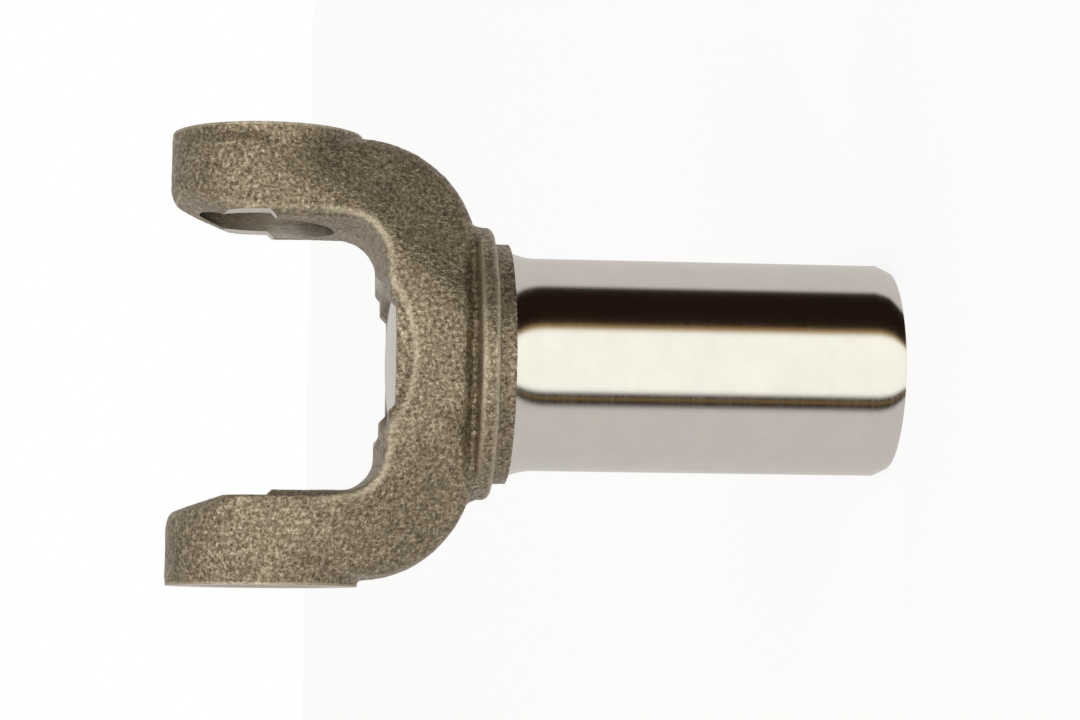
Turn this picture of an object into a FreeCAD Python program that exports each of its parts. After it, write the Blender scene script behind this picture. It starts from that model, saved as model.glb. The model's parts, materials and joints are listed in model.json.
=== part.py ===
"""Forged slip yoke of a propeller shaft, with the expansion plug pressed in its throat.

Frame: +Z runs from the open end of the barrel towards the fork, the cross bore lies along X,
and the forging's parting plane is Y = 0. The origin is the centre of the barrel's open end.
Millimetres and degrees.
"""
import FreeCAD, Part
import math
import os

import Sketcher
from FreeCAD import Placement, Vector

SHEET = "Sizes"

# Every size that can be set by itself: alias, value.
SIZES = (
    # ground barrel that slides in the gearbox's tail bearing and seal
    ("barrel_diameter", 47.88),
    ("barrel_length", 87.0),
    ("lead_chamfer_length", 3.0),
    ("lead_chamfer_drop", 1.4),
    ("run_out_length", 6.4),
    ("run_out_rise", 1.5),
    # forged rings between barrel and fork, each a step larger than the one before
    ("collar_step", 3.16),
    ("collar_length", 3.6),
    ("collar_taper", 0.3),
    ("ring_step", 3.7),
    ("ring_length", 4.4),
    ("ring_slope", 1.4),
    # fork, measured from the axis of the cross bore
    ("cross_distance", 54.0),
    ("fork_width", 43.8),
    ("arm_thickness", 20.4),
    ("throat_gap", 57.4),
    ("throat_depth", 24.4),
    ("throat_corner_radius", 7.5),
    ("shoulder_radius", 26.0),
    ("shoulder_inset", 0.4),
    ("tip_bevel_length", 8.3),
    ("tip_bevel_depth", 3.1),
    ("tip_corner_height", 1.6),
    ("tip_corner_depth", 1.8),
    ("draft_angle", 3.0),
    ("edge_radius", 2.0),
    # sloping faces that thin the outer corners of the arms
    ("slope_margin", 2.6),
    ("slope_heading", 40.0),
    ("slope_angle", 25.0),
    ("slope_edge_radius", 1.5),
    # machined ears
    ("boss_rise", 1.3),
    ("boss_inset", 0.6),
    ("milled_depth", 2.4),
    ("milled_length", 0.4),
    ("cross_bore_diameter", 30.18),
    ("bore_chamfer", 0.5),
    ("groove_land", 2.65),
    ("groove_width", 1.7),
    ("groove_depth", 1.1),
    # machined throat: each level lies a step below the forged one or the last
    ("relief_step", 2.3),
    ("relief_width", 31.8),
    ("inner_relief_step", 1.5),
    ("inner_relief_width", 21.6),
    ("swing_radius", 24.0),
    ("swing_rim_step", 5.8),
    ("swing_relief_depth", 1.3),
    ("swing_relief_slope", 2.2),
    # internal spline
    ("spline_teeth", 32),
    ("spline_minor_diameter", 32.8),
    ("spline_tooth_height", 1.2),
    ("spline_space_mouth", 2.27),
    ("spline_space_root", 0.89),
    ("bore_lead_in", 2.0),
    # expansion plug and its seat
    ("plug_shoulder", 1.45),
    ("plug_seat_step", 3.0),
    ("plug_crown", 2.0),
    ("plug_thickness", 2.2),
)

# How far a cutting outline reaches past what it cuts.
OVERREACH = 10.0

# A wall of the forging leans from its faces' direction by no more than this (as a cosine),
# and two directions closer than the second value are the same.
WALL_LEAN = 0.3
SAME_LEAN = 0.006


def make_sheet(doc):
    """Driving dimensions, one row each: name and value, with the name as alias."""
    sheet = doc.addObject("Spreadsheet::Sheet", SHEET)
    for row, (alias, value) in enumerate(SIZES, start=1):
        sheet.set(f"A{row}", alias.replace("_", " "))
        sheet.set(f"B{row}", str(value))
        sheet.setAlias(f"B{row}", alias)
    doc.recompute()
    return sheet


def size(name):
    """A cell of the sheet, as it is named in an expression."""
    return f"{SHEET}.{name}"


def radius(name):
    """Half of a diameter or of a spread."""
    return f"{size(name)} / 2"


# Sizes that follow from the driving ones, as expressions.
CROSS_HEIGHT = f"({size('barrel_length')} + {size('cross_distance')})"
EAR_RADIUS = f"({size('fork_width')} / 2)"
GAP_HALF = f"({size('throat_gap')} / 2)"
MILLED_HALF = f"({GAP_HALF} + {size('milled_depth')})"
ARM_HALF = f"({GAP_HALF} + {size('arm_thickness')})"
EAR_HALF = f"({ARM_HALF} + {size('boss_rise')})"
COLLAR_RADIUS = f"({size('barrel_diameter')} / 2 + {size('collar_step')})"
RING_RADIUS = f"({COLLAR_RADIUS} + {size('ring_step')})"
RING_TOP = f"({size('barrel_length')} + {size('collar_length')} + {size('ring_length')})"
SPLINE_ROOT = f"({size('spline_minor_diameter')} / 2 + {size('spline_tooth_height')})"
PLUG_RADIUS = f"({SPLINE_ROOT} + {size('plug_shoulder')})"
RELIEF_DEPTH = f"({size('throat_depth')} + {size('relief_step')})"
INNER_RELIEF_DEPTH = f"({RELIEF_DEPTH} + {size('inner_relief_step')})"
PLUG_SEAT_DEPTH = f"({INNER_RELIEF_DEPTH} + {size('plug_seat_step')})"


def level(drop):
    """Height of a level that lies a given drop below the axis of the cross bore."""
    return f"{CROSS_HEIGHT} - ({drop})"


def read(thing, expression):
    """Present value of an expression, as a plain number."""
    value = thing.evalExpression(expression)
    return float(getattr(value, "Value", value))


def origin_feature(body, role):
    """One of the body's own origin planes or axes."""
    return next(item for item in body.Origin.OriginFeatures if item.Role == role)


def new_sketch(body, name, role):
    sketch = body.newObject("Sketcher::SketchObject", name)
    sketch.AttachmentSupport = [(origin_feature(body, role), "")]
    sketch.MapMode = "FlatFace"
    return sketch


def arc_between(start, end, arc_radius, side):
    """Arc that bulges to the left (side 1) or to the right (side -1) on its way to end."""
    chord = end - start
    half = chord.Length / 2
    across = Vector(-chord.y, chord.x, 0).normalize() * side
    rise = arc_radius - math.sqrt(max(arc_radius ** 2 - half ** 2, 0.0))
    return Part.Arc(start, (start + end) / 2 + across * rise, end)


def vertex_at(sketch, edge, place):
    """Number of the edge's end that lies at a place: 1 or 2."""
    return min((1, 2), key=lambda vertex: (sketch.getPoint(edge, vertex) - place).Length)


def drive(sketch, constraint, expression):
    """Add a constraint and bind it to the sheet."""
    index = sketch.addConstraint(constraint)
    sketch.setExpression(f"Constraints[{index}]", expression)


def draw_outline(sketch, corners):
    """Closed outline through the corners, every one held by its own driving distances.

    A corner is (x, y), or (x, y, radius, side) where the way to the next corner is an arc.
    """
    places = [Vector(read(sketch, corner[0]), read(sketch, corner[1]), 0) for corner in corners]
    ends = places[1:] + places[:1]
    edges = []
    for corner, start, end in zip(corners, places, ends):
        if len(corner) == 4:
            shape = arc_between(start, end, read(sketch, corner[2]), corner[3])
        else:
            shape = Part.LineSegment(start, end)
        edges.append(sketch.addGeometry(shape, False))
    for index, (corner, place) in enumerate(zip(corners, places)):
        edge = edges[index]
        before = edges[index - 1]
        here = vertex_at(sketch, edge, place)
        there = vertex_at(sketch, before, place)
        sketch.addConstraint(Sketcher.Constraint("Coincident", before, there, edge, here))
        for kind, expression, value in zip(("DistanceX", "DistanceY"), corner, place):
            drive(sketch, Sketcher.Constraint(kind, -1, 1, edge, here, value), expression)
        if len(corner) == 4:
            value = read(sketch, corner[2])
            drive(sketch, Sketcher.Constraint("Radius", edge, value), corner[2])


def axis_line(sketch, height):
    """Level construction line at a height, as an axis to turn about."""
    place = read(sketch, height)
    ends = (Vector(0, place, 0), Vector(OVERREACH, place, 0))
    line = sketch.addGeometry(Part.LineSegment(*ends), True)
    drive(sketch, Sketcher.Constraint("DistanceY", -1, 1, line, 1, place), height)
    sketch.addConstraint(Sketcher.Constraint("DistanceX", -1, 1, line, 1, 0))
    sketch.addConstraint(Sketcher.Constraint("Horizontal", line))
    sketch.addConstraint(Sketcher.Constraint("DistanceX", line, 1, line, 2, OVERREACH))
    return (sketch, ["Axis0"])


def mirrored(corners):
    """Outline that is the same on both sides of the sketch's vertical axis.

    The corners are given for the positive side, in order, and an arc's radius and side
    stand at the corner where the arc starts on that side.
    """
    back = []
    for index in range(len(corners) - 1, -1, -1):
        corner = corners[index]
        flipped = (f"-({corner[0]})", corner[1])
        if index > 0 and len(corners[index - 1]) == 4:
            flipped += corners[index - 1][2:]
        back.append(flipped)
    return list(corners) + back


def two_sided(body, kind, name, sketch, length):
    """Pad or pocket that runs the same length to both sides of its sketch."""
    feature = body.newObject(f"PartDesign::{kind}", name)
    feature.Profile = sketch
    feature.SideType = "Two sides"
    feature.setExpression("Length", length)
    feature.setExpression("Length2", length)


def turned(body, kind, name, sketch, axis):
    """Revolution or groove through a full turn."""
    feature = body.newObject(f"PartDesign::{kind}", name)
    feature.Profile = sketch
    feature.ReferenceAxis = axis
    feature.Angle = 360


# ---------------------------------------------------------------- the forging


def fork_outline(body):
    """The U of the fork, seen square to the parting plane."""
    tip = f"{CROSS_HEIGHT} + {EAR_RADIUS}"
    shoulder = size("shoulder_radius")
    foot = f"({RING_RADIUS} - {size('shoulder_inset')})"
    shoulder_top = f"{RING_TOP} + sqrt({shoulder} ^ 2 - ({shoulder} - {ARM_HALF} + {foot}) ^ 2)"
    corner = size("throat_corner_radius")
    throat = size("throat_depth")
    bevel = f"{MILLED_HALF} + {size('tip_bevel_depth')}"
    bevel_end = f"{tip} - {size('tip_corner_height')}"
    sketch = new_sketch(body, "ForkOutline", "XZ_Plane")
    draw_outline(sketch, mirrored([
        (foot, RING_TOP, shoulder, -1),
        (ARM_HALF, shoulder_top),
        (ARM_HALF, tip),
        (f"{bevel} + {size('tip_corner_depth')}", tip),
        (bevel, bevel_end),
        (MILLED_HALF, f"{bevel_end} - {size('tip_bevel_length')}"),
        (GAP_HALF, CROSS_HEIGHT),
        (GAP_HALF, level(f"{throat} - {corner}"), corner, 1),
        (f"{GAP_HALF} - {corner}", level(throat)),
    ]))
    return sketch


def add_half_fork(body):
    """Half of the fork, on the -Y side of the parting plane."""
    half = body.newObject("PartDesign::Pad", "HalfFork")
    half.Profile = fork_outline(body)
    half.setExpression("Length", EAR_RADIUS)


def draft_walls(body):
    """Lean the walls inwards from the parting plane, as they leave the die."""
    half = body.Tip
    draft = body.newObject("PartDesign::Draft", "WallDraft")
    body.Document.recompute()
    faces = enumerate(half.Shape.Faces, start=1)
    walls = [f"Face{number}" for number, face in faces if abs(face_direction(face).y) < WALL_LEAN]
    draft.Base = (half, walls)
    draft.NeutralPlane = (origin_feature(body, "XZ_Plane"), [""])
    draft.setExpression("Angle", size("draft_angle"))


def mirror_fork(body):
    """The other half of the fork, beyond the parting plane."""
    mirror = body.newObject("PartDesign::Mirrored", "WholeFork")
    mirror.TransformMode = "Whole shape"
    mirror.MirrorPlane = (origin_feature(body, "XZ_Plane"), [""])
    body.Tip = mirror


def round_ears(body):
    """The ears end in a half round about the cross bore."""
    side = f"({EAR_RADIUS} + {OVERREACH})"
    top = f"{CROSS_HEIGHT} + {side}"
    sketch = new_sketch(body, "EarRound", "YZ_Plane")
    draw_outline(sketch, [
        (EAR_RADIUS, CROSS_HEIGHT, EAR_RADIUS, -1),
        ("0", f"{CROSS_HEIGHT} + {EAR_RADIUS}", EAR_RADIUS, -1),
        (f"-{EAR_RADIUS}", CROSS_HEIGHT),
        (f"-{side}", CROSS_HEIGHT),
        (f"-{side}", top),
        (side, top),
        (side, CROSS_HEIGHT),
    ])
    two_sided(body, "Pocket", "EarRounding", sketch, f"{EAR_HALF} + {OVERREACH}")


def slope_arms(body):
    """Thin the outer corner of each arm by a face that falls away from a diagonal crease."""
    for arm in (1, -1):
        slope_arm(body, arm)


def slope_arm(body, arm):
    """Sloping face of one arm, where arm is its side in X.

    The sketch stands square to the crease. Its x axis points out across the arm and its
    y axis out of the forging's face.
    """
    sketch = new_sketch(body, "ArmSlope", "XZ_Plane")
    heading = math.radians(read(sketch, size("slope_heading")))
    across = Vector(arm * math.cos(heading), -math.sin(heading), 0)
    outward = Vector(0, 0, 1)
    along = across.cross(outward)
    sketch.AttachmentOffset = Placement(
        FreeCAD.Matrix(across.x, outward.x, along.x, 0,
                       across.y, outward.y, along.y, 0,
                       across.z, outward.z, along.z, 0,
                       0, 0, 0, 1))
    crease = f"{arm} * ({ARM_HALF} - {size('slope_margin')})"
    sketch.setExpression("AttachmentOffset.Base.x", crease)
    sketch.setExpression("AttachmentOffset.Base.y", CROSS_HEIGHT)
    reach = f"(2 * {ARM_HALF})"
    above = f"{EAR_RADIUS} + {OVERREACH}"
    draw_outline(sketch, [
        ("0", EAR_RADIUS),
        (reach, f"{EAR_RADIUS} - {reach} * tan({size('slope_angle')} * 1 deg)"),
        (reach, above),
        ("0", above),
    ])
    two_sided(body, "Pocket", "ArmSloping", sketch, reach)


def face_direction(face):
    """Direction of a face in its middle."""
    first_u, last_u, first_v, last_v = face.ParameterRange
    return face.normalAt((first_u + last_u) / 2, (first_v + last_v) / 2)


def edges_beside(shape, lean):
    """Names of the edges between a drafted wall and a face that leans from -Y by an angle."""
    names = []
    facing = math.cos(math.radians(lean))
    for number, edge in enumerate(shape.Edges, start=1):
        faces = shape.ancestorsOfType(edge, Part.Face)
        leans = sorted(-face_direction(face).y for face in faces)
        if len(leans) == 2 and leans[0] < WALL_LEAN and abs(leans[1] - facing) < SAME_LEAN:
            names.append(f"Edge{number}")
    return names


def round_edges(body, name, lean, rounding):
    """Round the edges of the faces that lean from -Y by an angle."""
    forging = body.Tip
    feature = body.newObject("PartDesign::Fillet", name)
    feature.Base = (forging, edges_beside(forging.Shape, lean))
    feature.setExpression("Radius", size(rounding))


def soften_face(body):
    """Edges of the fork's flat face."""
    round_edges(body, "FaceEdges", 0, "edge_radius")


def soften_slopes(body):
    """Outer edges of the sloping faces."""
    round_edges(body, "SlopeEdges", read(body, size("slope_angle")), "slope_edge_radius")


def add_bosses(body):
    """Round boss at the outer end of the cross bore in each ear."""
    sketch = new_sketch(body, "BossOutline", "XZ_Plane")
    inner = f"({ARM_HALF} + {MILLED_HALF}) / 2"
    rim = f"{CROSS_HEIGHT} + {EAR_RADIUS} - {size('boss_inset')}"
    axis = axis_line(sketch, CROSS_HEIGHT)
    for side in ("", "-"):
        draw_outline(sketch, [
            (f"{side}({inner})", CROSS_HEIGHT),
            (f"{side}({EAR_HALF})", CROSS_HEIGHT),
            (f"{side}({EAR_HALF})", rim),
            (f"{side}({inner})", rim),
        ])
    turned(body, "Revolution", "Bosses", sketch, axis)


def add_barrel(body):
    """Barrel, collar and ring, turned about the shaft's axis."""
    barrel = radius("barrel_diameter")
    length = size("barrel_length")
    run_out = f"{length} - {size('run_out_length')}"
    flare = f"{barrel} + {size('run_out_rise')}"
    flare_radius = (f"({size('run_out_length')} ^ 2 + {size('run_out_rise')} ^ 2)"
                    f" / (2 * {size('run_out_rise')})")
    ring_low = f"{length} + {size('collar_length')}"
    slope = size("ring_slope")
    core = f"{EAR_RADIUS} - {size('edge_radius')}"
    core_top = level(PLUG_SEAT_DEPTH)
    sketch = new_sketch(body, "BarrelOutline", "XZ_Plane")
    draw_outline(sketch, [
        ("0", "0"),
        (f"{barrel} - {size('lead_chamfer_drop')}", "0"),
        (barrel, size("lead_chamfer_length")),
        (barrel, run_out, flare_radius, 1),
        (flare, length),
        (f"{COLLAR_RADIUS} - {size('collar_taper')}", length),
        (COLLAR_RADIUS, ring_low),
        (f"{RING_RADIUS} - {slope}", ring_low),
        (RING_RADIUS, f"{ring_low} + {slope}"),
        (RING_RADIUS, f"{RING_TOP} - {slope} / 2"),
        (core, f"{RING_TOP} + {slope} * 2"),
        (core, core_top),
        ("0", core_top),
    ])
    turned(body, "Revolution", "Barrel", sketch, (sketch, ["V_Axis"]))


# ---------------------------------------------------------------- machining


def bore_barrel(body):
    """Bore at the spline's minor diameter, with its lead-in and the seat of the plug."""
    minor = radius("spline_minor_diameter")
    lead = f"{SPLINE_ROOT} + {size('bore_chamfer')}"
    seat = level(PLUG_SEAT_DEPTH)
    mouth = level(f"{size('throat_depth')} - {size('throat_corner_radius')}")
    sketch = new_sketch(body, "BoreOutline", "XZ_Plane")
    draw_outline(sketch, [
        ("0", f"-{OVERREACH}"),
        (lead, f"-{OVERREACH}"),
        (lead, "0"),
        (minor, size("bore_lead_in")),
        (minor, seat),
        (PLUG_RADIUS, seat),
        (PLUG_RADIUS, mouth),
        ("0", mouth),
    ])
    turned(body, "Groove", "Bore", sketch, (sketch, ["V_Axis"]))


def cut_spline(body):
    """Spaces between the teeth of the internal spline, broached from end to seat."""
    minor = radius("spline_minor_diameter")
    mouth = radius("spline_space_mouth")
    root = radius("spline_space_root")
    inside = f"{minor} - {size('spline_tooth_height')} / 2"
    sketch = new_sketch(body, "SplineSpace", "XY_Plane")
    draw_outline(sketch, [
        (inside, f"-{mouth}"),
        (minor, f"-{mouth}"),
        (SPLINE_ROOT, f"-{root}"),
        (SPLINE_ROOT, root),
        (minor, mouth),
        (inside, mouth),
    ])
    space = body.newObject("PartDesign::Pocket", "SplineSpaceCut")
    space.Profile = sketch
    space.Reversed = True
    space.setExpression("Length", level(PLUG_SEAT_DEPTH))
    pattern = body.newObject("PartDesign::PolarPattern", "SplineSpaces")
    pattern.Originals = [space]
    pattern.Axis = (origin_feature(body, "Z_Axis"), [""])
    pattern.Angle = 360
    pattern.setExpression("Occurrences", size("spline_teeth"))
    body.Tip = pattern


def bore_ears(body):
    """Cross bore through both ears, with the snap-ring grooves and the entry chamfers."""
    bore = radius("cross_bore_diameter")
    chamfer = size("bore_chamfer")
    groove_out = f"{EAR_HALF} - {size('groove_land')}"
    groove_in = f"{groove_out} - {size('groove_width')}"
    groove = f"{CROSS_HEIGHT} + {bore} + {size('groove_depth')}"
    wall = f"{CROSS_HEIGHT} + {bore}"
    sketch = new_sketch(body, "CrossBoreOutline", "XZ_Plane")
    axis = axis_line(sketch, CROSS_HEIGHT)
    draw_outline(sketch, mirrored([
        (f"{EAR_HALF} + {chamfer}", CROSS_HEIGHT),
        (f"{EAR_HALF} + {chamfer}", f"{wall} + {chamfer} * 2"),
        (f"{EAR_HALF} - {chamfer}", wall),
        (groove_out, wall),
        (groove_out, groove),
        (groove_in, groove),
        (groove_in, wall),
    ]))
    turned(body, "Groove", "CrossBore", sketch, axis)


def mill_ears(body):
    """Inner faces of the ears, milled from the tips down to just past the cross bore's axis."""
    floor = level(size("milled_length"))
    top = f"{CROSS_HEIGHT} + {EAR_RADIUS} + {OVERREACH}"
    sketch = new_sketch(body, "MilledGap", "XZ_Plane")
    draw_outline(sketch, mirrored([
        (MILLED_HALF, top),
        (MILLED_HALF, floor),
        (GAP_HALF, f"{floor} - {size('milled_depth')}"),
    ]))
    two_sided(body, "Pocket", "EarMilling", sketch, f"{EAR_RADIUS} + {OVERREACH}")


def mill_throat(body):
    """Two milled levels across the throat, with the cutter's 45 degree flanks."""
    for width, depth in (("relief_width", RELIEF_DEPTH),
                         ("inner_relief_width", INNER_RELIEF_DEPTH)):
        half = radius(width)
        floor = level(depth)
        sketch = new_sketch(body, "ThroatLevel", "XZ_Plane")
        draw_outline(sketch, mirrored([
            (f"{half} + {OVERREACH}", f"{floor} + {OVERREACH}"),
            (half, floor),
        ]))
        two_sided(body, "Pocket", "ThroatMilling", sketch, f"{EAR_RADIUS} + {OVERREACH}")


def relieve_throat(body):
    """Shallow round recess in both faces, which clears the other yoke as the joint bends."""
    floor = f"{EAR_RADIUS} - {size('swing_relief_depth')}"
    rim = level(f"{size('throat_depth')} + {size('swing_rim_step')}")
    centre = f"{rim} + {size('swing_radius')}"
    slope = size("swing_relief_slope")
    sketch = new_sketch(body, "SwingRelief", "YZ_Plane")
    axis = axis_line(sketch, centre)
    for side in ("", "-"):
        draw_outline(sketch, [
            (f"{side}({floor})", centre),
            (f"{side}({floor})", rim),
            (f"{side}({floor} + {size('swing_relief_depth')})", f"{rim} - {slope}"),
            (f"{side}({floor} + {size('swing_relief_depth')} * 2)", f"{rim} - {slope} * 2"),
            (f"{side}({floor} + {size('swing_relief_depth')} * 2)", centre),
        ])
    turned(body, "Groove", "SwingReliefCut", sketch, axis)


def build_yoke(doc):
    body = doc.addObject("PartDesign::Body", "SlipYoke")
    body.Label = "slip_yoke"
    for step in (add_half_fork, draft_walls, soften_face, slope_arms, soften_slopes, mirror_fork,
                 round_ears, add_bosses, add_barrel, bore_barrel, cut_spline, bore_ears,
                 mill_ears, mill_throat, relieve_throat):
        step(body)
        doc.recompute()
    return body


# ---------------------------------------------------------------- the plug


def build_plug(doc):
    """Domed steel disc of even thickness, seated against the shoulder behind the throat."""
    body = doc.addObject("PartDesign::Body", "ExpansionPlug")
    body.Label = "expansion_plug"
    seat = level(PLUG_SEAT_DEPTH)
    thick = size("plug_thickness")
    crown = size("plug_crown")
    top = f"{seat} + {thick}"
    dome = f"({PLUG_RADIUS} ^ 2 + {crown} ^ 2) / (2 * {crown})"
    sketch = new_sketch(body, "PlugOutline", "XZ_Plane")
    draw_outline(sketch, [
        ("0", f"{seat} + {crown}", dome, 1),
        (PLUG_RADIUS, seat),
        (PLUG_RADIUS, top, dome, -1),
        ("0", f"{top} + {crown}"),
    ])
    turned(body, "Revolution", "Dome", sketch, (sketch, ["V_Axis"]))
    return body


def check(doc):
    """Stop if anything failed to build, because a failed feature raises no error."""
    for item in doc.Objects:
        if "Invalid" in item.State or "Error" in item.State:
            raise RuntimeError(f"{item.Name} failed: {item.getStatusString()}")


def main():
    doc = FreeCAD.newDocument("SlipYoke")
    make_sheet(doc)
    bodies = [build_yoke(doc), build_plug(doc)]
    doc.recompute()
    check(doc)
    for body in bodies:
        if body.Shape.isNull() or not body.Shape.isValid():
            raise RuntimeError(f"{body.Label} has no valid shape")
    os.makedirs("parts", exist_ok=True)
    for body in bodies:
        body.Shape.exportStep(os.path.join("parts", f"{body.Label}.step"))
        print(body.Label, round(body.Shape.Volume, 1), "mm3", body.Shape.BoundBox)


main()
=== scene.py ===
import json
import math

import bmesh
import bpy
import numpy as np
from mathutils import Matrix, Vector, noise

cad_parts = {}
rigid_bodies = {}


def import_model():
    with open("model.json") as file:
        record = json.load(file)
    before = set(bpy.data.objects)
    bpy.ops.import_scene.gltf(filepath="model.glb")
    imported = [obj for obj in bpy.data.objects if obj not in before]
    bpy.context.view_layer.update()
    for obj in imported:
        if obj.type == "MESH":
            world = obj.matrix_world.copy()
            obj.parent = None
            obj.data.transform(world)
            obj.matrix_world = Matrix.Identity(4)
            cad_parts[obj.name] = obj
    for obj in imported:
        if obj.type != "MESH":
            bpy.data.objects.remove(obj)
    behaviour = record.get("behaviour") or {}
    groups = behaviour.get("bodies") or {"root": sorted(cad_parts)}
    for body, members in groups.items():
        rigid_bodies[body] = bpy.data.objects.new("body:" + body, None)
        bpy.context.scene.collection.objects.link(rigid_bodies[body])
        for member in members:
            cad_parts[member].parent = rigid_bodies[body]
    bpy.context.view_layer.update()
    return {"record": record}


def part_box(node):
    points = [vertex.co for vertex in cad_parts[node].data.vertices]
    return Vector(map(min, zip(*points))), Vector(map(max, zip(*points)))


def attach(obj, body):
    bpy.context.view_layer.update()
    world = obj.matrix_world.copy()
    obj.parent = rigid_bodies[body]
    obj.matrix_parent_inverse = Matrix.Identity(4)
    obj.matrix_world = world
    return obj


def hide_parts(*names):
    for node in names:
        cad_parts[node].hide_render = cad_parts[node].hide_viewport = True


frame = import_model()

MM = 0.001
MOUNTS = {mount["name"]: mount for mount in frame["record"]["mounts"]}
_, YOKE_HIGH = (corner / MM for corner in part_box("slip_yoke"))
PLUG_LOW, PLUG_HIGH = (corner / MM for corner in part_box("expansion_plug"))

# ---------------------------------------------------------------- sizes

CROSS_HEIGHT = MOUNTS["cross_bore"]["pos_m"][2] / MM
CROSS_BORE = MOUNTS["cross_bore"]["dims"]["r_mm"]
BARREL = MOUNTS["seal_journal"]["dims"]["r_mm"]
EAR_HALF = YOKE_HIGH.x
RING = YOKE_HIGH.y
HALF_WIDTH = YOKE_HIGH.z - CROSS_HEIGHT
PLUG_RADIUS = PLUG_HIGH.x

BARREL_LENGTH = 87.0
LEAD_LENGTH = 3.0
LEAD_DROP = 1.4
BARREL_RINGS = 24
RUN_OUT_LENGTH = 6.4
RUN_OUT_RISE = 1.5
RUN_OUT_STEPS = 8
COLLAR = 27.1
COLLAR_LENGTH = 3.6
COLLAR_SHIFT = 1.5
COLLAR_EDGE = 0.5
RING_LENGTH = 4.4
RING_INSET = 0.1
RING_EDGE = 1.3
RING_FILLET = 0.7
FOOT_FILLET = 2.4

ARM_HALF = 49.1
GAP_HALF = 28.7
MILLED_HALF = 31.1
THROAT_DEPTH = 24.4
THROAT_CORNER = 7.5
THROAT_POINTS = 9
SHOULDER = 26.0
SHOULDER_RISE = 25.0
SHOULDER_SWEEP = 74
SHOULDER_POINTS = 17
PAST_MIDDLE = 15.0
CORE_INSET = 3.0
CORE_HALF_LENGTH = 6.0
TIP_BEVEL = [(28.7, 5.6), (34.2, 20.3), (36.0, 21.9)]
DRAFT = math.radians(3.0)
FACE_EDGE = 2.2
CREASE = 46.5
SLOPE_HEADING = math.radians(40.0)
SLOPE_ANGLE = math.radians(25.0)
SLOPE_BLEND = 1.6
SWING_RADIUS = 24.0
SWING_CENTRE = 6.2
SWING_DEPTH = 1.3
SWING_SLOPE = 2.2
SWING_EDGE = 0.5
BOSS = 21.3
BOSS_MIDDLE = 44.0
BOSS_STOCK = 0.3
BOSS_EDGE = 0.3
BOSS_FILLET = 0.9
BORE_CHAMFER = 0.5
GROOVE_OUT = 47.75
GROOVE_WIDTH = 1.7
GROOVE_DEPTH = 1.1
MILLED_LENGTH = 0.4
THROAT_LEVELS = ((15.9, 26.7), (10.8, 28.2))
THROAT_REACH = 6.0
SPLINE_TEETH = 32
SPLINE_MINOR = 16.4
SPLINE_ROOT = 17.6
SPLINE_MOUTH = 2.27
SPLINE_BOTTOM = 0.89
SPLINE_LEAD_WIDTH = 0.5
SPLINE_LEAD_LENGTH = 2.0
SPLINE_OVERLAP = 0.05
PLUG_CROWN = 2.0
PLUG_THICKNESS = 2.2
PLUG_EDGE_DROP = 0.3
PLUG_EDGE_INSET = 0.35
PLUG_RINGS = 16
PLUG_STEPS = 128

# Lumps of the skin: (waves per millimetre, height, where the noise starts), and their mean drop.
SKIN_WAVES = ((0.16, 0.10, (0, 0, 0)), (0.45, 0.07, (9, 4, 1)), (1.1, 0.06, (3, 7, 5)))
SKIN_DROP = 0.14

# How far a cutter, or a piece to be joined, reaches past the face that it meets.
PAST_END = 1.0
JOIN_DEPTH = 2.0
SHELF_DEPTH = 20.0
STOCK_BELOW = 3.0
GRID_MARGIN = 1.5

GRID = 0.62
ROUND_STEPS = 192

# Material slots of the yoke, in the order that they are made.
SCALE, GROUND, MACHINED, SHADED_MILLED = range(4)


# ---------------------------------------------------------------- signed distances


def polygon_distance(u, h, corners):
    """Signed distance to a closed polygon, negative inside."""
    nearest = np.full(np.broadcast(u, h).shape, 1e9)
    inside = np.zeros(nearest.shape, bool)
    for (u0, h0), (u1, h1) in zip(corners, corners[1:] + corners[:1]):
        run, rise = u1 - u0, h1 - h0
        part = np.clip(((u - u0) * run + (h - h0) * rise) / (run * run + rise * rise), 0, 1)
        gap = (u - u0 - run * part) ** 2 + (h - h0 - rise * part) ** 2
        nearest = np.minimum(nearest, gap)
        if rise != 0:
            crosses = (h0 > h) != (h1 > h)
            inside ^= crosses & (u < u0 + run * (h - h0) / rise)
    return np.sqrt(nearest) * np.where(inside, -1, 1)


def rounded_and(a, b, radius):
    """Inside both, with the edge between them rounded."""
    outer = np.hypot(np.maximum(a + radius, 0), np.maximum(b + radius, 0))
    return np.minimum(np.maximum(a, b), -radius) + outer


def rounded_or(a, b, radius):
    """Inside either, with the corner between them filleted."""
    inner = np.hypot(np.maximum(radius - a, 0), np.maximum(radius - b, 0))
    return np.maximum(np.minimum(a, b), radius) - inner


def arc_points(centre, radius, start, end, count):
    """Points along an arc, its ends included; angles in degrees."""
    angles = [math.radians(start + (end - start) * i / (count - 1)) for i in range(count)]
    return [(centre[0] + radius * math.cos(a), centre[1] + radius * math.sin(a)) for a in angles]


def fork_outline():
    """Right half of the U in (x, height over the cross bore), run past the middle."""
    foot = RING_LENGTH + COLLAR_LENGTH + BARREL_LENGTH - CROSS_HEIGHT
    shoulder_centre = (ARM_HALF - SHOULDER, foot + SHOULDER_RISE)
    throat_centre = (GAP_HALF - THROAT_CORNER, THROAT_CORNER - THROAT_DEPTH)
    outline = [(-PAST_MIDDLE, -THROAT_DEPTH)]
    outline += arc_points(throat_centre, THROAT_CORNER, -90, 0, THROAT_POINTS)
    outline += TIP_BEVEL
    outline += [(ARM_HALF, HALF_WIDTH)]
    outline += arc_points(shoulder_centre, SHOULDER, 0, -SHOULDER_SWEEP, SHOULDER_POINTS)
    outline += [(-PAST_MIDDLE, foot)]
    return outline


FORK = fork_outline()
FOOT = FORK[-1][1]


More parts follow.
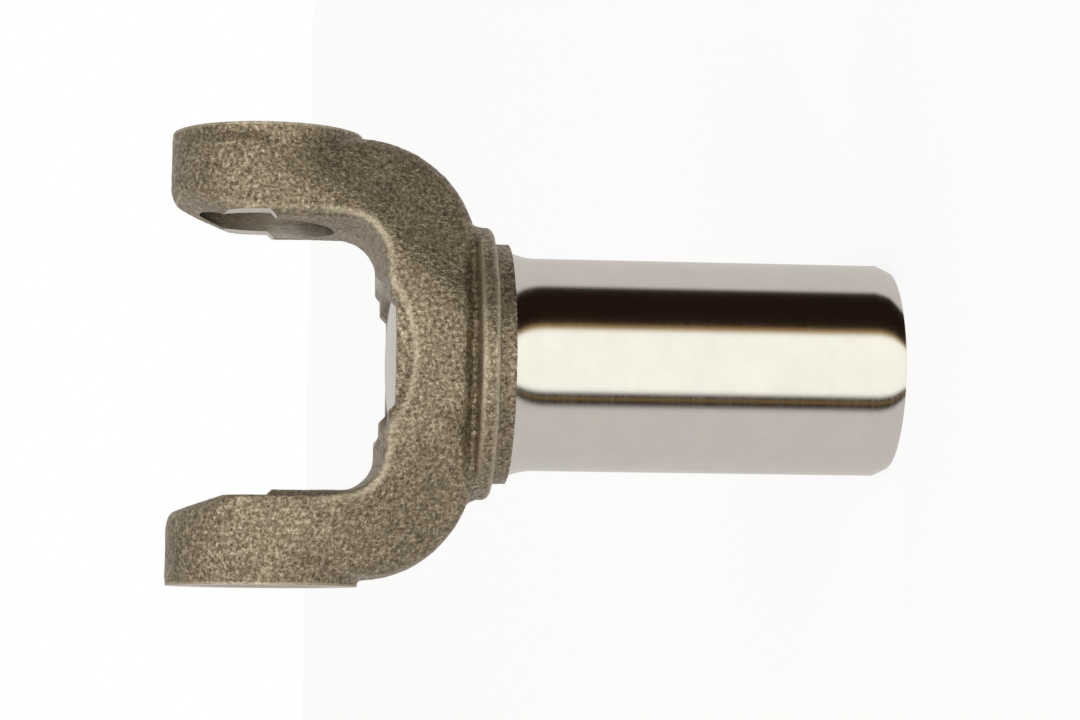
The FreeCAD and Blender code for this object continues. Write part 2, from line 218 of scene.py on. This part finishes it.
def face_distance(x, y, h):
    """Flat faces of the fork with the ears' half round, the slopes and the swing recess."""
    u, v = np.abs(x), np.abs(y)
    face = np.hypot(v, np.maximum(h, 0)) - HALF_WIDTH
    beyond = (u - CREASE) * math.cos(SLOPE_HEADING) - h * math.sin(SLOPE_HEADING)
    slope = (v - HALF_WIDTH) * math.cos(SLOPE_ANGLE) + beyond * math.sin(SLOPE_ANGLE)
    face = rounded_and(face, slope, SLOPE_BLEND)
    rise = SWING_DEPTH / SWING_SLOPE
    swing = np.maximum(np.hypot(x, h + SWING_CENTRE) - SWING_RADIUS, 0) * rise
    recess = (v - HALF_WIDTH + SWING_DEPTH - swing) / math.hypot(1, rise)
    return rounded_and(face, recess, SWING_EDGE)


def ring_distance(x, y, h):
    """Collar and ring, turned about the shaft's axis."""
    radius = np.hypot(x, y)
    low = BARREL_LENGTH - CROSS_HEIGHT
    collar_half = np.abs(h - low - COLLAR_SHIFT) - COLLAR_LENGTH
    collar = rounded_and(radius - COLLAR, collar_half, COLLAR_EDGE)
    middle = low + COLLAR_LENGTH + RING_LENGTH / 2
    crest = np.abs(h - middle) - RING_LENGTH / 2
    ring = rounded_and(radius - RING + RING_INSET, crest, RING_EDGE)
    return rounded_or(collar, ring, RING_FILLET)


def forging_distance(x, y, h):
    """Signed distance to the forging before it is machined."""
    u, v = np.abs(x), np.abs(y)
    wall = polygon_distance(u, h, FORK) + v * math.tan(DRAFT)
    fork = rounded_and(wall, face_distance(x, y, h), FACE_EDGE)
    boss_round = np.hypot(y, h) - BOSS
    boss_ends = np.abs(u - BOSS_MIDDLE) - (EAR_HALF + BOSS_STOCK - BOSS_MIDDLE)
    boss = rounded_and(boss_round, boss_ends, BOSS_EDGE)
    fork = rounded_or(fork, boss, BOSS_FILLET)
    core_round = np.hypot(x, y) - HALF_WIDTH + CORE_INSET
    core = np.maximum(core_round, np.abs(h - FOOT) - CORE_HALF_LENGTH)
    fork = np.minimum(fork, core)
    return rounded_or(fork, ring_distance(x, y, h), FOOT_FILLET)


def gradient(distance, places, step=0.15):
    """Direction in which a distance grows fastest, at rows of places."""
    slope = np.empty_like(places)
    for axis in range(3):
        shift = np.zeros(3)
        shift[axis] = step
        ahead, behind = places + shift, places - shift
        slope[:, axis] = distance(*ahead.T) - distance(*behind.T)
    return slope / np.maximum(np.linalg.norm(slope, axis=1, keepdims=True), 1e-9)


def convexity(distance, places, step=0.9):
    """How sharply a surface bends outwards: positive on edges, negative in corners."""
    total = -6 * distance(*places.T)
    for axis in range(3):
        shift = np.zeros(3)
        shift[axis] = step
        total += distance(*(places + shift).T) + distance(*(places - shift).T)
    return total / step


# ---------------------------------------------------------------- meshes


def surface_net(distance, low, high, cell):
    """Vertices and quads of the surface where a signed distance is zero."""
    axes = [np.arange(a, b + cell, cell) for a, b in zip(low, high)]
    x, y, z = axes[0][:, None, None], axes[1][None, :, None], axes[2][None, None, :]
    field = distance(x, y, z).astype(np.float32)
    solid = field < 0
    shape = tuple(n - 1 for n in field.shape)
    total = np.zeros(shape + (3,), np.float32)
    count = np.zeros(shape, np.float32)

    def corner(grid, step):
        return grid[tuple(slice(s, s + n) for s, n in zip(step, shape))]

    for axis in range(3):
        for step in [(i, j, k) for i in (0, 1) for j in (0, 1) for k in (0, 1)]:
            if step[axis]:
                continue
            other = tuple(1 if i == axis else s for i, s in enumerate(step))
            a, b = corner(field, step), corner(field, other)
            crossing = (a < 0) != (b < 0)
            part = np.where(crossing, a / np.where(crossing, a - b, 1), 0)
            for i in range(3):
                total[..., i] += crossing * (part if i == axis else step[i])
            count += crossing
    used = count > 0
    number = np.full(shape, -1, np.int64)
    number[used] = np.arange(used.sum())
    start = np.stack(np.nonzero(used), axis=1)
    places = (start + total[used] / count[used][:, None]) * cell + np.array(low)
    quads = []
    for axis in range(3):
        b, c = (axis + 1) % 3, (axis + 2) % 3
        here = [slice(1, -1)] * 3
        here[axis] = slice(0, -1)
        ahead = list(here)
        ahead[axis] = slice(1, None)
        first, second = solid[tuple(here)], solid[tuple(ahead)]
        at = np.stack(np.nonzero(first != second), axis=1)
        at += [0 if i == axis else 1 for i in range(3)]
        outward = solid[tuple(at.T)]
        around = []
        for db, dc in ((0, 0), (1, 0), (1, 1), (0, 1)):
            cell_at = at.copy()
            cell_at[:, b] -= db
            cell_at[:, c] -= dc
            around.append(number[tuple(cell_at.T)])
        loop = np.stack(around, axis=1)
        loop[~outward] = loop[~outward][:, ::-1]
        quads.append(loop)
    return places.astype(float), np.concatenate(quads)


def mesh_object(name, places, faces, material=SCALE):
    """New closed object from places in millimetres, with its faces turned outwards."""
    mesh = bpy.data.meshes.new(name)
    mesh.from_pydata([tuple(place) for place in np.asarray(places) * MM], [], faces)
    for finish in YOKE_FINISHES:
        mesh.materials.append(finish)
    mesh.polygons.foreach_set("material_index", [material] * len(mesh.polygons))
    mend = bmesh.new()
    mend.from_mesh(mesh)
    bmesh.ops.recalc_face_normals(mend, faces=mend.faces)
    mend.to_mesh(mesh)
    mend.free()
    piece = bpy.data.objects.new(name, mesh)
    bpy.context.scene.collection.objects.link(piece)
    return piece


def lathe(name, profile, axis="Z", material=SCALE, steps=ROUND_STEPS):
    """Solid turned from (radius, height) corners whose first and last lie on the axis."""
    places = [(0.0, 0.0, profile[0][1])]
    for radius, height in profile[1:-1]:
        for i in range(steps):
            turn = 2 * math.pi * i / steps
            places.append((radius * math.cos(turn), radius * math.sin(turn), height))
    places.append((0.0, 0.0, profile[-1][1]))
    rings = len(profile) - 2
    last = len(places) - 1
    faces = []
    for i in range(steps):
        j = (i + 1) % steps
        faces.append((0, 1 + j, 1 + i))
        for ring in range(rings - 1):
            base = 1 + ring * steps
            faces.append((base + i, base + j, base + steps + j, base + steps + i))
        base = 1 + (rings - 1) * steps
        faces.append((last, base + i, base + j))
    places = np.array(places)
    if axis == "X":
        places = places[:, [2, 0, 1]]
        places[:, 2] += CROSS_HEIGHT
    return mesh_object(name, places, faces, material)


def prism(name, outline, low, high, plane, material=SCALE):
    """Solid between two like outlines: plane is the pair of axes that the outline lies in."""
    through = 3 - plane[0] - plane[1]
    count = len(outline)
    places = np.zeros((2 * count, 3))
    for side, level in enumerate((low, high)):
        rows = slice(side * count, (side + 1) * count)
        places[rows, plane[0]] = [corner[0] for corner in outline]
        places[rows, plane[1]] = [corner[1] for corner in outline]
        places[rows, through] = level
    faces = [tuple(range(count)), tuple(reversed(range(count, 2 * count)))]
    faces += [(i + count, (i + 1) % count + count, (i + 1) % count, i) for i in range(count)]
    return mesh_object(name, places, faces, material)


def combine(piece, operation, others):
    """Boolean of a piece with others, which are used up."""
    for other in others:
        modifier = piece.modifiers.new("combine", "BOOLEAN")
        modifier.operation = operation
        modifier.solver = "MANIFOLD"
        modifier.object = other
        bpy.context.view_layer.update()
        depsgraph = bpy.context.evaluated_depsgraph_get()
        result = bpy.data.meshes.new_from_object(piece.evaluated_get(depsgraph))
        piece.modifiers.clear()
        before = piece.data
        piece.data = result
        bpy.data.meshes.remove(before)
        bpy.data.objects.remove(other)
    return piece


# ---------------------------------------------------------------- the yoke


def roughen(places, normals):
    """Places moved along their normals by the lumps of the forging's skin."""
    moved = places.copy()
    for row, place in enumerate(places):
        lumps = sum(size * noise.noise(Vector(place * pitch) + Vector(start))
                    for pitch, size, start in SKIN_WAVES)
        moved[row] += normals[row] * (lumps - SKIN_DROP)
    return moved


def make_forging():
    """The rough forging, as it leaves the die."""
    low = (-EAR_HALF - GRID_MARGIN, -RING - GRID_MARGIN,
           BARREL_LENGTH - STOCK_BELOW - CROSS_HEIGHT)
    high = (EAR_HALF + GRID_MARGIN, RING + GRID_MARGIN, HALF_WIDTH + GRID_MARGIN)
    places, faces = surface_net(forging_distance, low, high, GRID)
    for _ in range(2):
        normals = gradient(forging_distance, places)
        places -= normals * forging_distance(*places.T)[:, None]
    places = roughen(places, gradient(forging_distance, places))
    places[:, 2] += CROSS_HEIGHT
    return mesh_object("slip_yoke_skin", places, faces.tolist())


def barrel_profile():
    """Ground barrel from its open end up into the forging."""
    run_out = BARREL_LENGTH - RUN_OUT_LENGTH
    flare = (RUN_OUT_LENGTH ** 2 + RUN_OUT_RISE ** 2) / (2 * RUN_OUT_RISE)
    profile = [(0, 0), (BARREL - LEAD_DROP, 0), (BARREL, LEAD_LENGTH)]
    profile += [(BARREL, LEAD_LENGTH + (run_out - LEAD_LENGTH) * i / BARREL_RINGS)
                for i in range(1, BARREL_RINGS)]
    for i in range(RUN_OUT_STEPS + 1):
        rise = RUN_OUT_LENGTH * i / RUN_OUT_STEPS
        profile.append((BARREL + flare - math.sqrt(flare ** 2 - rise ** 2), run_out + rise))
    inner = BARREL_LENGTH + JOIN_DEPTH
    profile += [(BARREL + RUN_OUT_RISE, inner), (0, inner)]
    return profile


def bore_profile():
    """Space inside the barrel: lead-in, spline bore and the seat of the plug."""
    mouth = CROSS_HEIGHT - THROAT_DEPTH + THROAT_CORNER
    seat = PLUG_LOW.z
    lead = SPLINE_ROOT + SPLINE_LEAD_WIDTH
    return [(0, -PAST_END), (lead, -PAST_END), (lead, 0), (SPLINE_MINOR, SPLINE_LEAD_LENGTH),
            (SPLINE_MINOR, seat), (PLUG_RADIUS, seat), (PLUG_RADIUS, mouth), (0, mouth)]


def spline_outline():
    """Outline through the spaces between the teeth of the internal spline."""
    outline = []
    inside = SPLINE_MINOR - SPLINE_OVERLAP
    for tooth in range(SPLINE_TEETH):
        turn = 2 * math.pi * tooth / SPLINE_TEETH
        for radius, half in ((inside, -SPLINE_MOUTH / 2), (SPLINE_ROOT, -SPLINE_BOTTOM / 2),
                             (SPLINE_ROOT, SPLINE_BOTTOM / 2), (inside, SPLINE_MOUTH / 2)):
            angle = turn + half / radius
            outline.append((radius * math.cos(angle), radius * math.sin(angle)))
    return outline


def cross_bore_profile():
    """Space of the cross bore through both ears, with the snap-ring grooves."""
    outer = EAR_HALF + BORE_CHAMFER
    half = [(CROSS_BORE + 2 * BORE_CHAMFER, outer), (CROSS_BORE, EAR_HALF - BORE_CHAMFER),
            (CROSS_BORE, GROOVE_OUT), (CROSS_BORE + GROOVE_DEPTH, GROOVE_OUT),
            (CROSS_BORE + GROOVE_DEPTH, GROOVE_OUT - GROOVE_WIDTH),
            (CROSS_BORE, GROOVE_OUT - GROOVE_WIDTH)]
    other = [(radius, -height) for radius, height in reversed(half)]
    return [(0, outer)] + half + other + [(0, -outer)]


def mirrored(half):
    """Outline that is the same on both sides of the middle."""
    return half + [(-u, h) for u, h in reversed(half)]


def machining():
    """Solids that the cutters take away."""
    far = 40.0
    floor = CROSS_HEIGHT - MILLED_LENGTH
    corner = MILLED_HALF - GAP_HALF
    ears = mirrored([(MILLED_HALF, CROSS_HEIGHT + far), (MILLED_HALF, floor),
                     (GAP_HALF, floor - corner)])
    cuts = [prism("ear_milling", ears, -far, far, (0, 2), MACHINED)]
    for half, depth in THROAT_LEVELS:
        level = CROSS_HEIGHT - depth
        step = mirrored([(half + THROAT_REACH, level + THROAT_REACH), (half, level)])
        cuts.append(prism("throat_milling", step, -far, far, (0, 2), SHADED_MILLED))
    for side in (1, -1):
        inner, outer = side * EAR_HALF, side * far * 2
        cuts.append(prism("boss_facing", [(inner, -far), (outer, -far), (outer, far), (inner, far)],
                          CROSS_HEIGHT - far, CROSS_HEIGHT + far, (0, 1), MACHINED))
    return cuts


def make_yoke():
    """Whole yoke: the forging, machined, with the ground barrel on it."""
    yoke = make_forging()
    reach = 80
    shelf = prism("collar_facing",
                  [(-reach, -reach), (reach, -reach), (reach, reach), (-reach, reach)],
                  BARREL_LENGTH - SHELF_DEPTH, BARREL_LENGTH, (0, 1), MACHINED)
    combine(yoke, "DIFFERENCE", [shelf] + machining())
    combine(yoke, "UNION", [lathe("barrel", barrel_profile(), material=GROUND)])
    combine(yoke, "DIFFERENCE", [
        lathe("bore", bore_profile(), material=MACHINED),
        prism("spline", spline_outline(), -PAST_END, PLUG_LOW.z, (0, 1), MACHINED),
        lathe("cross_bore", cross_bore_profile(), "X", MACHINED)])
    return yoke


def smooth_faces(piece, crease=32):
    """Smooth shading with sharp machined edges."""
    piece.data.shade_smooth()
    piece.data.set_sharp_from_angle(angle=math.radians(crease))


def mark_edges(piece):
    """Store how convex the forging is at each vertex; the scale's material lightens convex edges
    with it, as rubbed wear and as a painted highlight.
    """
    mesh = piece.data
    places = np.empty(len(mesh.vertices) * 3)
    mesh.vertices.foreach_get("co", places)
    places = places.reshape(-1, 3) / MM
    places[:, 2] -= CROSS_HEIGHT
    layer = mesh.attributes.new("edge", "FLOAT", "POINT")
    layer.data.foreach_set("value", convexity(forging_distance, places).astype(np.float32))


def make_plug():
    """Domed plug, turned from its section."""
    rim_low = PLUG_LOW.z
    rim_high = rim_low + PLUG_THICKNESS
    dome = (PLUG_RADIUS ** 2 + PLUG_CROWN ** 2) / (2 * PLUG_CROWN)

    def height(radius):
        return math.sqrt(dome ** 2 - radius ** 2) - dome + PLUG_CROWN

    radii = [PLUG_RADIUS * i / PLUG_RINGS for i in range(PLUG_RINGS + 1)]
    under = [(radius, rim_low + height(radius)) for radius in radii]
    over = [(radius, rim_high + height(radius)) for radius in reversed(radii[:-1])]
    bend = PLUG_RADIUS - PLUG_EDGE_INSET
    rim = [(PLUG_RADIUS, rim_high - PLUG_EDGE_DROP), (bend, rim_high + height(bend))]
    return lathe("expansion_plug_dome", under + rim + over, steps=PLUG_STEPS)


# ---------------------------------------------------------------- materials


def new_material(name):
    material = bpy.data.materials.new(name)
    material.use_nodes = True
    tree = material.node_tree
    return material, tree, tree.nodes["Principled BSDF"]


def coordinates(tree, scale=(1, 1, 1)):
    """Object coordinates in millimetres, stretched per axis."""
    source = tree.nodes.new("ShaderNodeTexCoord")
    mapping = tree.nodes.new("ShaderNodeMapping")
    mapping.inputs["Scale"].default_value = [value / MM for value in scale]
    tree.links.new(source.outputs["Object"], mapping.inputs["Vector"])
    return mapping.outputs["Vector"]


def noise_value(tree, vector, scale, detail=3.0, roughness=0.6):
    node = tree.nodes.new("ShaderNodeTexNoise")
    node.inputs["Scale"].default_value = scale
    node.inputs["Detail"].default_value = detail
    node.inputs["Roughness"].default_value = roughness
    tree.links.new(vector, node.inputs["Vector"])
    return node.outputs["Fac"]


def ramp(tree, value, stops):
    """Colour ramp through (place, colour or grey) stops, in rising order."""
    node = tree.nodes.new("ShaderNodeValToRGB")
    elements = node.color_ramp.elements
    elements.remove(elements[1])
    elements[0].position = stops[0][0]
    for place, _ in stops[1:]:
        elements.new(place)
    for element, (_, colour) in zip(elements, stops):
        element.color = (*colour, 1) if isinstance(colour, tuple) else (colour, colour, colour, 1)
    tree.links.new(value, node.inputs["Fac"])
    return node.outputs["Color"]


def math_node(tree, operation, a, b=0.0):
    node = tree.nodes.new("ShaderNodeMath")
    node.operation = operation
    for socket, value in zip(node.inputs, (a, b)):
        if isinstance(value, (int, float)):
            socket.default_value = value
        else:
            tree.links.new(value, socket)
    return node.outputs[0]


def mix(tree, factor, a, b, blend="MIX"):
    node = tree.nodes.new("ShaderNodeMix")
    node.data_type = "RGBA"
    node.blend_type = blend
    for name, value in (("Factor", factor), ("A", a), ("B", b)):
        socket = next(s for s in node.inputs if s.name == name and s.enabled)
        if isinstance(value, tuple):
            socket.default_value = (*value, 1)
        elif isinstance(value, (int, float)):
            socket.default_value = value
        else:
            tree.links.new(value, socket)
    return next(s for s in node.outputs if s.enabled)


def bump(tree, height, strength, distance):
    node = tree.nodes.new("ShaderNodeBump")
    node.inputs["Strength"].default_value = strength
    node.inputs["Distance"].default_value = distance * MM
    tree.links.new(height, node.inputs["Height"])
    return node.outputs["Normal"]


def scale_material():
    """Shot-blasted forging scale: brown grain with bronze glints, lightened on convex edges as
    rubbed wear and as a painted highlight.
    """
    material, tree, shader = new_material("forging_scale")
    place = coordinates(tree)
    grain = noise_value(tree, place, scale=1.15, detail=2.5, roughness=0.62)
    fine = noise_value(tree, place, scale=2.6, detail=2.0)
    patches = noise_value(tree, place, scale=0.09, roughness=0.55)
    speck = math_node(tree, "ADD", math_node(tree, "MULTIPLY", grain, 0.65),
                      math_node(tree, "MULTIPLY", fine, 0.35))
    colour = ramp(tree, speck, [(0.34, (0.11, 0.085, 0.06)), (0.47, (0.26, 0.21, 0.145)),
                                (0.56, (0.42, 0.35, 0.25)), (0.68, (0.74, 0.66, 0.52))])
    shade = ramp(tree, patches, [(0.3, 0.78), (0.7, 1.0)])
    colour = mix(tree, 1.0, colour, shade, "MULTIPLY")
    edge = tree.nodes.new("ShaderNodeAttribute")
    edge.attribute_name = "edge"
    # Convex edges are lightened towards pale bronze: partly the rubbed wear of the edges, partly a
    # painted highlight.
    wear_and_edge_highlight = ramp(tree, edge.outputs["Fac"], [(0.25, 0.0), (0.8, 1.0)])
    colour = mix(tree, math_node(tree, "MULTIPLY", wear_and_edge_highlight, 0.5), colour, (0.70, 0.62, 0.48))
    tree.links.new(colour, shader.inputs["Base Color"])
    shader.inputs["Metallic"].default_value = 0.85
    rough = ramp(tree, grain, [(0.35, 0.50), (0.65, 0.36)])
    tree.links.new(rough, shader.inputs["Roughness"])
    tree.links.new(bump(tree, speck, strength=0.75, distance=0.55), shader.inputs["Normal"])
    return material


def steel_material(name, colour, roughness, stretch, scale, depth):
    """Machined steel with fine tool lines along one direction."""
    material, tree, shader = new_material(name)
    lines = noise_value(tree, coordinates(tree, stretch), scale, roughness=0.7)
    clouds = noise_value(tree, coordinates(tree), scale=0.12)
    tint = ramp(tree, clouds, [(0.3, tuple(0.94 * c for c in colour)), (0.7, colour)])
    tree.links.new(tint, shader.inputs["Base Color"])
    shader.inputs["Metallic"].default_value = 1.0
    spread = ramp(tree, lines, [(0.3, roughness * 0.8), (0.7, roughness * 1.25)])
    tree.links.new(spread, shader.inputs["Roughness"])
    tree.links.new(bump(tree, lines, strength=0.2, distance=depth), shader.inputs["Normal"])
    return material


def yoke_finishes():
    """Finishes of the yoke, in the order of its slots."""
    return [scale_material(),
            steel_material("ground_steel", (0.79, 0.77, 0.73), roughness=0.13,
                           stretch=(0.02, 0.02, 1), scale=3.0, depth=0.004),
            steel_material("bored_steel", (0.62, 0.58, 0.52), roughness=0.24,
                           stretch=(1, 0.1, 0.1), scale=3.0, depth=0.02),
            # The throat's milled faces get a dark colour that paints the shade of that recess;
            # their rougher finish is the milling's own.
            steel_material("milled_steel_painted_shade", (0.30, 0.26, 0.22), roughness=0.42,
                           stretch=(1, 1, 1), scale=1.5, depth=0.08)]


YOKE_FINISHES = yoke_finishes()


# ---------------------------------------------------------------- studio

CAMERA_TURN = math.radians(5.5)
CAMERA_TILT = math.radians(6.3)
CAMERA_ROLL = math.radians(0.42)
CAMERA_DISTANCE = 677.0
CAMERA_RAISE = 1.13
AIM_BELOW_CROSS = 61.9

WHITE = (1.0, 1.0, 1.0)
POLE_GREY = (0.66, 0.64, 0.61)
FLOOR_COLOUR = (0.86, 0.86, 0.85, 1)
FLOOR_SIZE = 8.0
FLOOR_GLOW = 1.1
FLOOR_GLOW_SHARE = 0.75
LAMP_PLACE = (-0.35, -1.2, 0.75)
LAMP_AIM = (0, 0, 0.08)
LAMP_SIZE = 0.9
LAMP_WATTS = 3.0


def studio_stops():
    """What the barrel mirrors, by angle from the camera's side in degrees: (angle, colour)."""
    grey = (0.66, 0.63, 0.60)
    dark = (0.016, 0.008, 0.005)
    gold = (0.42, 0.25, 0.07)
    cream = (1.20, 1.19, 1.10)
    return [(-180, grey), (-97, grey), (-92, dark), (-47, dark), (-42, gold),
            (-37, cream), (26, cream), (31, dark), (34, dark), (35.5, gold), (37, dark),
            (41, dark), (47, grey), (180, grey)]


def make_world():
    """Pale studio with a bright panel on the camera's side between two dark gaps."""
    world = bpy.data.worlds.new("studio")
    bpy.context.scene.world = world
    world.use_nodes = True
    tree = world.node_tree
    background = tree.nodes["Background"]
    source = tree.nodes.new("ShaderNodeTexCoord")
    split = tree.nodes.new("ShaderNodeSeparateXYZ")
    tree.links.new(source.outputs["Generated"], split.inputs["Vector"])
    across = math_node(tree, "MULTIPLY", split.outputs["X"], -1.0)
    ahead = math_node(tree, "MULTIPLY", split.outputs["Y"], -1.0)
    angle = math_node(tree, "ARCTAN2", across, ahead)
    angle = math_node(tree, "SUBTRACT", angle, CAMERA_TURN)
    place = math_node(tree, "ADD", math_node(tree, "DIVIDE", angle, 2 * math.pi), 0.5)
    panel = ramp(tree, place, [((turn + 180) / 360, colour) for turn, colour in studio_stops()])
    tallness = math_node(tree, "ABSOLUTE", split.outputs["Z"])
    poles = ramp(tree, tallness, [(0.86, 0.0), (0.96, 1.0)])
    panel = mix(tree, poles, panel, POLE_GREY)
    path = tree.nodes.new("ShaderNodeLightPath")
    seen = mix(tree, path.outputs["Is Camera Ray"], panel, WHITE)
    tree.links.new(seen, background.inputs["Color"])
    background.inputs["Strength"].default_value = 1.0


def make_floor():
    """Pale floor that keeps the object's shadow, shows white and isn't seen in mirrors."""
    bpy.ops.mesh.primitive_plane_add(size=FLOOR_SIZE, location=(0, 0, 0))
    floor = bpy.context.object
    floor.name = "floor"
    material, tree, shader = new_material("pale_floor")
    shader.inputs["Base Color"].default_value = FLOOR_COLOUR
    shader.inputs["Roughness"].default_value = 0.7
    glow = tree.nodes.new("ShaderNodeEmission")
    glow.inputs["Color"].default_value = (*WHITE, 1)
    glow.inputs["Strength"].default_value = FLOOR_GLOW
    path = tree.nodes.new("ShaderNodeLightPath")
    blend = tree.nodes.new("ShaderNodeMixShader")
    lift = math_node(tree, "MULTIPLY", path.outputs["Is Camera Ray"], FLOOR_GLOW_SHARE)
    tree.links.new(lift, blend.inputs["Fac"])
    tree.links.new(shader.outputs["BSDF"], blend.inputs[1])
    tree.links.new(glow.outputs["Emission"], blend.inputs[2])
    clear = tree.nodes.new("ShaderNodeBsdfTransparent")
    hidden_in_mirrors = tree.nodes.new("ShaderNodeMixShader")
    tree.links.new(path.outputs["Is Glossy Ray"], hidden_in_mirrors.inputs["Fac"])
    tree.links.new(blend.outputs["Shader"], hidden_in_mirrors.inputs[1])
    tree.links.new(clear.outputs["BSDF"], hidden_in_mirrors.inputs[2])
    tree.links.new(hidden_in_mirrors.outputs["Shader"],
                   tree.nodes["Material Output"].inputs["Surface"])
    floor.data.materials.append(material)


def make_lamp():
    """Soft lamp on the camera's side."""
    light = bpy.data.lights.new("soft_lamp", "AREA")
    light.shape = "RECTANGLE"
    light.size = LAMP_SIZE
    light.size_y = LAMP_SIZE
    light.energy = LAMP_WATTS
    lamp = bpy.data.objects.new("soft_lamp", light)
    lamp.location = LAMP_PLACE
    aim = Vector(LAMP_AIM) - lamp.location
    lamp.rotation_euler = aim.to_track_quat("-Z", "Y").to_euler()
    bpy.context.scene.collection.objects.link(lamp)


def make_camera():
    """Camera on its side, so that the fork lies to the left of the barrel."""
    data = bpy.data.cameras.new("camera")
    data.lens = 100.0
    data.sensor_width = 36.0
    camera = bpy.data.objects.new("camera", data)
    back = Vector((-math.sin(CAMERA_TURN) * math.cos(CAMERA_TILT),
                   -math.cos(CAMERA_TURN) * math.cos(CAMERA_TILT), math.sin(CAMERA_TILT)))
    up = (Vector((1, 0, 0)) - back * back.x).normalized()
    turn = Matrix.Rotation(CAMERA_ROLL, 3, back)
    up = turn @ up
    side = up.cross(back)
    aim = Vector((0, 0, CROSS_HEIGHT - AIM_BELOW_CROSS)) + up * CAMERA_RAISE
    pose = Matrix((side, up, back)).transposed().to_4x4()
    pose.translation = (aim + back * CAMERA_DISTANCE) * MM
    camera.matrix_world = pose
    data.clip_start = 0.01
    data.clip_end = 50.0
    bpy.context.scene.collection.objects.link(camera)
    bpy.context.scene.camera = camera


def main():
    scene = bpy.context.scene
    scene.view_settings.view_transform = "Standard"
    for leftover in [o for o in bpy.data.objects if o.name in ("Cube", "Light", "Camera")]:
        bpy.data.objects.remove(leftover)
    make_camera()
    make_world()
    make_floor()
    make_lamp()

    yoke = make_yoke()
    mark_edges(yoke)
    smooth_faces(yoke)
    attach(yoke, "root")
    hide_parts("slip_yoke")

    plug = make_plug()
    smooth_faces(plug)
    plug.data.materials.clear()
    plug.data.materials.append(
        steel_material("plug_steel", (0.80, 0.78, 0.75), roughness=0.22,
                       stretch=(1, 1, 1), scale=1.0, depth=0.004))
    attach(plug, "root")
    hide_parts("expansion_plug")


main()
